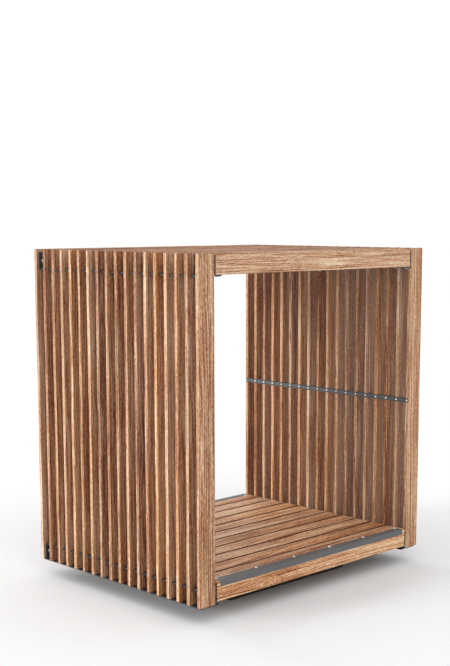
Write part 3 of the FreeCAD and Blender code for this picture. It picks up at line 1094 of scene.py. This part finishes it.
@dataclass
class CornerSteel:
    """A wall's steel: bottom angle, top section, end plates and base plate."""

    wall: SlattedWall
    palette: Palette
    weld_leg: float = 0.003
    heel: float = 0.001
    plate_round: float = 0.0015
    plate_chamfer: float = 0.0005
    foot_round: float = 0.0008

    def build_bottom_angle(self) -> None:
        """Make the angle at the foot of the wall."""
        block = self.wall.bottom
        self.section("bottom_angle", block, angle_corners(
            block.size(Axis.X), block.low[2], block.high[2], self.wall.steel, self.weld_leg, self.heel))

    def build_top_section(self) -> None:
        """Make the section under the roof: a web, a flange outwards and a shelf inwards."""
        block, steel, leg = self.wall.top, self.wall.steel, self.weld_leg
        reach = self.wall.bottom.size(Axis.X)
        shelf = reach - block.size(Axis.X)
        low, high = block.low[2], block.high[2]
        self.section("top_angle", block, [
            Corner(shelf, low), Corner(reach, low), Corner(reach, low + steel),
            Corner(steel, low + steel, leg), Corner(steel, high), Corner(0, high),
            Corner(0, low + steel, leg), Corner(shelf, low + steel)])

    def section(self, part: str, block: Block, corners: Sequence[Corner]) -> None:
        """Roll a section along the wall and cut its flange back behind the end lamellas.

        Args:
            part: The last words of the node it stands for.
            block: The node's box.
            corners: The section for the right wall, u outwards from the web's inner face.
        """
        wall, past = self.wall, self.wall.reach_past
        mesh = rolled_bar(placed_outline(corners, wall.web_face, wall.side.value), Axis.Y,
                          block.low[1], block.high[1])
        plates = Block.of_node("end_plates")
        beyond = wall.flange_tip + wall.side.value * past
        cuts = []
        for end in End:
            outer = block.face(Axis.Y, end.value) + end.value * past
            inner = plates.face(Axis.Y, end.value) - end.value * wall.plate_thick
            cuts.append(Block.between((wall.inner_face, outer, block.low[2] - past),
                                      (beyond, inner, block.high[2] + past)))
        place_piece(f"{wall.word}_{part}_bar", carve(mesh, cuts), self.palette.corner_steel,
                    f"{wall.word}_{part}")

    def build_end_plates(self) -> None:
        """Make the four plates that close the two sections behind the end lamellas."""
        wall, plates = self.wall, Block.of_node("end_plates")
        left, right = sorted((wall.inner_face, plates.face(Axis.X, wall.side.value)))
        for level, block in (("lower", wall.bottom), ("upper", wall.top)):
            outline = rectangle(left, right, block.low[2], block.high[2], self.plate_round)
            for end in End:
                face = plates.face(Axis.Y, end.value)
                near, far = sorted((face, face - end.value * wall.plate_thick))
                mesh = rolled_bar(outline, Axis.Y, near, far, chamfer=self.plate_chamfer)
                place_piece(f"{wall.word}_{end.word}_{level}_end_plate", mesh,
                            self.palette.corner_steel, "end_plates")

    def build_base_plate(self) -> None:
        """Make the flat plate that the wall stands on."""
        node = f"{self.wall.word}_base_plate"
        low, high = Block.of_node(node).low, Block.of_node(node).high
        outline = rectangle(low[0], high[0], low[2], high[2], self.foot_round)
        mesh = rolled_bar(outline, Axis.Y, low[1], high[1], chamfer=self.foot_round)
        place_piece(f"{self.wall.word}_foot_plate", mesh, self.palette.black_steel, node)

    def build(self) -> None:
        """Make the wall's steel."""
        self.build_bottom_angle()
        self.build_top_section()
        self.build_end_plates()
        self.build_base_plate()


@dataclass
class SlattedRoof(Slatted):
    """The roof lamellas on edge and the band that ties them underneath."""

    seed: int = 132
    pith_near: float = 0.010
    pith_far: float = 0.030
    off_side: float = 0.16

    def __post_init__(self) -> None:
        """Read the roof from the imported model."""
        self.block = Block.of_node("roof_lamellas")
        self.band = Block.of_node("roof_band")

    def cuts(self) -> list[Block]:
        """The notch for the band, which stays blind in the two end lamellas.

        Returns:
            The cutting boxes, the same for every lamella.
        """
        gap, band, thick = self.clearance, self.band, self.band_thick
        low = band.low[2] - self.reach_past
        front, back = band.low[1] - gap, band.high[1] + gap
        left, right = band.low[0] - gap, band.high[0] + gap
        return [Block((left, front, low), (right, back, band.low[2] + thick + gap)),
                Block((right - thick - 2 * gap, front, low), (right, back, band.high[2] + gap))]

    def build_lamellas(self) -> None:
        """Make every roof lamella."""
        sawing = Sawing(self.pith_near, self.pith_far, self.off_side, gap_shade=self.gap_shade)
        maker = BoardMaker(self.palette.lamella_timber, self.seed, sawing)
        half, low, high = self.stations.thickness / 2, self.block.low, self.block.high
        for index, middle in enumerate(self.stations.middles()):
            block = Block((low[0], middle - half, low[2]), (high[0], middle + half, high[2]))
            maker.make(Board(f"roof_slat_{index + 1:02d}", block, Axis.X, Axis.Y, "roof_lamellas",
                             self.cuts(), self.stations.open_face(index)))

    def build_band(self) -> None:
        """Make the roof's band."""
        (left, front, low), (right, back, high) = self.band.low, self.band.high
        thick = self.band_thick
        corners = [Corner(left, low), Corner(right, low, thick), Corner(right, high),
                   Corner(right - thick, high), Corner(right - thick, low + thick, self.band_fold),
                   Corner(left, low + thick)]
        mesh = rolled_bar(section_outline(corners), Axis.Y, front, back)
        place_piece("roof_tie_band", mesh, self.palette.band_steel, "roof_band")


@dataclass
class Deck:
    """The boarded floor between its two rails, and the nosings let into its open edges."""

    palette: Palette
    board_count: int = 11
    board_gap: float = 0.010
    nosing_thick: float = 0.003
    nosing_fold: float = 0.001
    reach_past: float = 0.003
    board_seed: int = 5
    rail_seed: int = 10

    def __post_init__(self) -> None:
        """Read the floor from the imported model."""
        self.boards = Block.of_node("floor_boards")
        self.nosings = {end: Block.of_node(f"{end.word}_nosing") for end in End}

    def rebates(self, end: End) -> list[Block]:
        """What the nosing at one end takes out of the timber round it.

        Args:
            end: The end.

        Returns:
            The cutting boxes.
        """
        nosing, way = self.nosings[end], end.value
        (left, _, low), (right, _, high) = nosing.low, nosing.high
        face, rear = nosing.face(Axis.Y, way), nosing.face(Axis.Y, -way)
        outside, top = face + way * self.reach_past, high + self.reach_past
        return [Block.between((left, outside, high - self.nosing_thick), (right, rear, top)),
                Block.between((left, outside, low), (right, face - way * self.nosing_thick, top))]

    def build_boards(self) -> None:
        """Make every floor board."""
        # The boards' long sides take painted shade, so the joints between them read dark.
        maker = BoardMaker(self.palette.deck_timber, self.board_seed, Sawing(joint_shade=1.0))
        low, high = self.boards.low, self.boards.high
        pitch = (high[1] - low[1] + self.board_gap) / self.board_count
        ends = {0: End.FRONT, self.board_count - 1: End.BACK}
        for index in range(self.board_count):
            front = low[1] + index * pitch
            block = Block((low[0], front, low[2]), (high[0], front + pitch - self.board_gap, high[2]))
            cuts = self.rebates(ends[index]) if index in ends else []
            maker.make(Board(f"deck_board_{index + 1:02d}", block, Axis.X, Axis.Z, "floor_boards", cuts))

    def build_rails(self) -> None:
        """Make the front and the back rail."""
        maker = BoardMaker(self.palette.deck_timber, self.rail_seed)
        for end in End:
            node = f"{end.word}_rail"
            maker.make(Board(f"{end.word}_deck_rail", Block.of_node(node), Axis.X, Axis.Y, node,
                             self.rebates(end)))

    def build_nosings(self) -> None:
        """Make the two folded nosing angles."""
        for end, block in self.nosings.items():
            corners = angle_corners(block.size(Axis.Y), block.low[2], block.high[2],
                                    self.nosing_thick, self.nosing_fold, self.nosing_thick)
            outline = placed_outline(corners, block.face(Axis.Y, end.value), -end.value)
            mesh = rolled_bar(outline, Axis.X, block.low[0], block.high[0])
            place_piece(f"{end.word}_nosing_angle", mesh, self.palette.grey_steel,
                        f"{end.word}_nosing")

    def build(self) -> None:
        """Make the floor."""
        self.build_boards()
        self.build_rails()
        self.build_nosings()


@dataclass
class Underframe:
    """What carries the floor: cross members, bearers and the plinth."""

    palette: Palette
    tube_width: float = 0.060
    tube_wall: float = 0.003
    outer_fold: float = 0.0045
    inner_fold: float = 0.0015

    def build_cross_members(self) -> None:
        """Make the two rectangular tubes."""
        both, wall = Block.of_node("cross_members"), self.tube_wall
        low, high = both.low[2], both.high[2]
        for end in End:
            face = both.face(Axis.Y, end.value)
            near, far = sorted((face, face - end.value * self.tube_width))
            outer = rectangle(near, far, low, high, self.outer_fold)
            inner = rectangle(near + wall, far - wall, low + wall, high - wall, self.inner_fold)
            mesh = rolled_bar(outer, Axis.X, both.low[0], both.high[0], inner)
            place_piece(f"{end.word}_cross_member", mesh, self.palette.black_steel, "cross_members")

    def build(self) -> None:
        """Make the tubes, and dress the bearers and the plinth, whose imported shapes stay."""
        self.build_cross_members()
        for node in ("floor_bearers", "plinth_frame"):
            dress_node(node, self.palette.black_steel)


# ---------------------------------------------------------------- fasteners

LOBE_DEPTH = 0.16    # how far the socket's lobes stand out, as a share of its radius


class Outline(Enum):
    """The outline of one ring of a turned part."""

    ROUND = "round"
    SIX_LOBES = "six lobes"
    HEXAGON = "hexagon"

    def reach(self, radius: float, angle: float) -> float:
        """The distance from the axis at an angle.

        Args:
            radius: Radius of the ring.
            angle: The angle round the axis.

        Returns:
            The distance.
        """
        if self is Outline.SIX_LOBES:
            return radius * (1 + LOBE_DEPTH * math.cos(6 * angle))
        if self is Outline.HEXAGON:
            sector = math.pi / 3
            return radius * math.cos(sector / 2) / math.cos((angle % sector) - sector / 2)
        return radius


Ring = tuple[float, float, Outline]    # height, radius and outline


def domed_head(rim: float = 0.12, dome: float = 1.05, steps: int = 5) -> tuple[Ring, ...]:
    """The rings of a domed head with a six-lobe socket, as shares of its rise and radius.

    Args:
        rim: Height of its upright rim.
        dome: Angle of its dome, in radians.
        steps: Rings in the dome.

    Returns:
        The rings, from under the head to the socket's floor.
    """
    angles = [dome * step / steps for step in range(1, steps + 1)]
    crown = [(rim + (1 - rim) * math.sin(angle) / math.sin(dome), math.cos(angle), Outline.ROUND)
             for angle in angles]
    return ((0.0, 0.97, Outline.ROUND), (rim, 1.0, Outline.ROUND), *crown,
            (1.0, 0.44, Outline.SIX_LOBES), (0.35, 0.42, Outline.SIX_LOBES), (0.30, 0.20, Outline.ROUND))


DOMED_HEAD = domed_head()
HEX_HEAD: tuple[Ring, ...] = (
    (0.0, 1.0, Outline.ROUND), (0.20, 0.98, Outline.ROUND), (0.26, 0.90, Outline.HEXAGON),
    (0.93, 0.90, Outline.HEXAGON), (1.0, 0.82, Outline.ROUND), (1.0, 0.40, Outline.ROUND))


class TurnedPart:
    """A part made of rings round an axis, drawn standing on the face it clamps."""

    segments = 36
    turn_by = 2.4      # each part of a group is turned this much further, in radians
    hollow = False

    def rings(self) -> list[Ring]:
        """The part's rings in order."""
        raise NotImplementedError

    def mesh(self, places: Sequence[Place]) -> Mesh:
        """Make a group of these parts.

        Args:
            places: For each, the point it stands on and the direction it faces.

        Returns:
            One mesh with a closed solid for each part.
        """
        bm = bmesh.new()
        for number, (point, outwards) in enumerate(places):
            upright = outwards.to_track_quat("Z", "Y").to_matrix().to_4x4()
            place = (Matrix.Translation(point) @ upright
                     @ Matrix.Rotation(number * self.turn_by, 4, "Z"))
            loops = []
            for height, radius, outline in self.rings():
                loops.append([])
                for step in range(self.segments):
                    angle = 2 * math.pi * step / self.segments
                    reach = outline.reach(radius, angle)
                    spot = Vector((reach * math.cos(angle), reach * math.sin(angle), height))
                    loops[-1].append(bm.verts.new(place @ spot))
            skin(bm, loops)
            if self.hollow:
                skin(bm, [loops[-1], loops[0]])
            else:
                bm.faces.new(loops[0])
                bm.faces.new(loops[-1])
        return finish_mesh(bm)


@dataclass(frozen=True)
class Fastener(TurnedPart):
    """A screw or bolt; its head's rings are given as shares of the head's rise and radius."""

    head_radius: float
    head_rise: float
    shank_radius: float
    length: float
    head: tuple[Ring, ...]
    lift: float = 0.0
    tip_share: float = 0.45

    def rings(self) -> list[Ring]:
        """The part's rings in order.

        Returns:
            The rings from the tip to the middle of the head.
        """
        shank, foot = self.shank_radius, -self.length
        return [(foot, self.tip_share * shank, Outline.ROUND), (foot + shank, shank, Outline.ROUND),
                (self.lift, shank, Outline.ROUND),
                *((self.lift + height * self.head_rise, radius * self.head_radius, outline)
                  for height, radius, outline in self.head)]


@dataclass(frozen=True)
class Washer(TurnedPart):
    """A flat washer with a broken outer edge."""

    hole_radius: float
    radius: float
    thick: float
    edge_share: float = 0.25
    segments: int = 28
    turn_by: float = 0.0
    hollow: bool = True

    def rings(self) -> list[Ring]:
        """The part's rings in order.

        Returns:
            The rings from the hole's foot outwards and back over the top.
        """
        edge = self.edge_share * self.thick
        return [(height, radius, Outline.ROUND) for height, radius in (
            (0.0, self.hole_radius), (0.0, self.radius), (self.thick - edge, self.radius),
            (self.thick, self.radius - edge), (self.thick, self.hole_radius))]


@dataclass
class Fixings:
    """Every screw and bolt of the housing."""

    palette: Palette
    stations: Stations
    walls: Sequence[SlattedWall]
    deck: Deck
    band_screw: Fastener = Fastener(0.0048, 0.0022, 0.0025, 0.021, DOMED_HEAD, lift=0.0008)
    nosing_screw: Fastener = Fastener(0.0058, 0.0029, 0.0025, 0.021, DOMED_HEAD)
    shelf_screw: Fastener = Fastener(0.0058, 0.0029, 0.0025, 0.024, DOMED_HEAD)
    end_bolt: Fastener = Fastener(0.0065, 0.0050, 0.0040, 0.018, HEX_HEAD)
    washer_radius: float = 0.0080
    bolt_edge: float = 0.018
    nosing_screw_count: int = 6
    nosing_screw_end: float = 0.012
    nosing_screw_edge: float = 0.006

    def group(self, name: str, part: TurnedPart, places: Sequence[Place], node: str) -> None:
        """Show one group of bright fasteners."""
        place_piece(name, part.mesh(places), self.palette.stainless, node, HEAD_SMOOTH)

    def build_band_screws(self) -> None:
        """Make the screws through the three bands, each on its black washer."""
        rows = {wall.word: self.stations.row(wall.inner_face, wall.band.centre(Axis.Z),
                                             Vector((-wall.side.value, 0, 0)))
                for wall in self.walls}
        band = Block.of_node("roof_band")
        rows["roof"] = self.stations.row(band.centre(Axis.X), band.low[2], DOWN)
        washer = Washer(self.band_screw.shank_radius, self.washer_radius, self.band_screw.lift)
        for word, places in rows.items():
            self.group(f"{word}_tie_band_screws", self.band_screw, places, "band_screws")
            place_piece(f"{word}_tie_band_washers", washer.mesh(places), self.palette.black_washer,
                        "band_screws")

    def build_shelf_screws(self) -> None:
        """Make the screws up through the shelves into the roof lamellas."""
        for wall in self.walls:
            middle = (wall.top.face(Axis.X, -wall.side.value) + wall.web_face) / 2
            self.group(f"{wall.word}_shelf_screws", self.shelf_screw,
                       self.stations.row(middle, wall.top.low[2], DOWN), "roof_screws")

    def build_nosing_screws(self) -> None:
        """Make the screws down through the nosings."""
        for end, block in self.deck.nosings.items():
            row_y = block.face(Axis.Y, -end.value) + end.value * self.nosing_screw_edge
            first = block.low[0] + self.nosing_screw_end
            step = (block.size(Axis.X) - 2 * self.nosing_screw_end) / (self.nosing_screw_count - 1)
            places = [(Vector((first + step * number, row_y, block.high[2])), UP)
                      for number in range(self.nosing_screw_count)]
            self.group(f"{end.word}_nosing_screw_row", self.nosing_screw, places, "nosing_screws")

    def build_end_bolts(self) -> None:
        """Make the bolts through the end plates."""
        plates = Block.of_node("end_plates")
        places = []
        for wall in self.walls:
            inset = wall.side.value * self.bolt_edge
            for across in (wall.inner_face + inset, plates.face(Axis.X, wall.side.value) - inset):
                for section in (wall.bottom, wall.top):
                    for end in End:
                        back = plates.face(Axis.Y, end.value) - end.value * wall.plate_thick
                        places.append((Vector((across, back, section.centre(Axis.Z))),
                                       Vector((0, -end.value, 0))))
        self.group("end_plate_hex_bolts", self.end_bolt, places, "end_plate_bolts")

    def build(self) -> None:
        """Make every fastener."""
        self.build_band_screws()
        self.build_shelf_screws()
        self.build_nosing_screws()
        self.build_end_bolts()
        dress_node("floor_screws", self.palette.stainless)


# ---------------------------------------------------------------- studio

@dataclass(frozen=True)
class SoftSun:
    """A distant white light spread over a wide disc of the sky, so its shadows are soft."""

    name: str
    towards: Triple
    strength: float
    spread: float

    def build(self) -> None:
        """Hang the light."""
        lamp = bpy.data.lights.new(self.name, "SUN")
        lamp.energy = self.strength
        lamp.angle = math.radians(self.spread)
        holder = show(self.name, lamp)
        holder.location = self.towards
        holder.rotation_euler = Vector(self.towards).to_track_quat("Z", "Y").to_euler()


@dataclass
class Studio:
    """The pale floor, the lights and the camera."""

    floor_radius: float = 90.0
    floor_segments: int = 96
    backdrop: float = 1.05
    ambient: float = 0.94
    lights: tuple[SoftSun, ...] = (
        SoftSun("key_light", (-8.0, 3.0, 2.0), 2.1, 24.0),
        SoftSun("back_light", (0.0, 8.0, 5.0), 0.45, 14.0),
        SoftSun("front_fill", (-3.5, -6.0, 7.0), 0.55, 40.0))
    camera_place: Triple = (-3.8902, -3.9829, 1.6017)
    camera_yaw: float = 44.737
    camera_tilt: float = 8.525
    lens: float = 66.49
    sensor: float = 36.0
    shift_x: float = -0.0244
    shift_y: float = 0.1072

    def build_floor(self) -> None:
        """Lay the floor."""
        bm = bmesh.new()
        bmesh.ops.create_circle(bm, cap_ends=True, radius=self.floor_radius,
                                segments=self.floor_segments)
        mesh = finish_mesh(bm)
        mesh.materials.append(StudioFloor("pale_floor", "").material())
        show("studio_floor", mesh)

    def build_sky(self) -> None:
        """Surround the studio with a white backdrop and even white light."""
        world = bpy.data.worlds.new("white_studio")
        world.use_nodes = True
        nodes, links = world.node_tree.nodes, world.node_tree.links
        nodes.clear()
        choice = nodes.new("ShaderNodeMixShader")
        links.new(nodes.new("ShaderNodeLightPath").outputs["Is Camera Ray"], choice.inputs[0])
        for number, strength in enumerate((self.ambient, self.backdrop), start=1):
            white = nodes.new("ShaderNodeBackground")
            white.inputs["Color"].default_value = (1.0, 1.0, 1.0, 1.0)
            white.inputs["Strength"].default_value = strength
            links.new(white.outputs["Background"], choice.inputs[number])
        output = nodes.new("ShaderNodeOutputWorld")
        links.new(choice.outputs["Shader"], output.inputs["Surface"])
        bpy.context.scene.world = world

    def build_camera(self) -> None:
        """Set up the camera, which keeps the verticals nearly upright by its shift."""
        data = bpy.data.cameras.new("studio_camera")
        data.lens, data.sensor_width = self.lens, self.sensor
        data.shift_x, data.shift_y = self.shift_x, self.shift_y
        data.clip_end = 4 * self.floor_radius
        camera = show("studio_camera", data)
        camera.location = self.camera_place
        camera.rotation_euler = (math.radians(90 - self.camera_tilt), 0.0,
                                 math.radians(-self.camera_yaw))
        bpy.context.scene.camera = camera

    def build(self) -> None:
        """Set up the studio."""
        self.build_camera()
        self.build_floor()
        self.build_sky()
        for light in self.lights:
            light.build()
        bpy.context.scene.view_settings.view_transform = "Standard"


# ---------------------------------------------------------------- the whole housing


def main() -> None:
    """Build the studio and the housing, piece by piece."""
    logging.basicConfig(level=logging.INFO, format="%(message)s", stream=sys.stdout)
    palette = Palette()
    stations = Stations.of_wall()
    Studio().build()
    walls = [SlattedWall(palette, stations, side=side) for side in Side]
    for wall in walls:
        wall.build()
        CornerSteel(wall, palette).build()
    SlattedRoof(palette, stations).build()
    deck = Deck(palette)
    deck.build()
    Underframe(palette).build()
    Fixings(palette, stations, walls, deck).build()


if __name__ == "__main__":
    main()
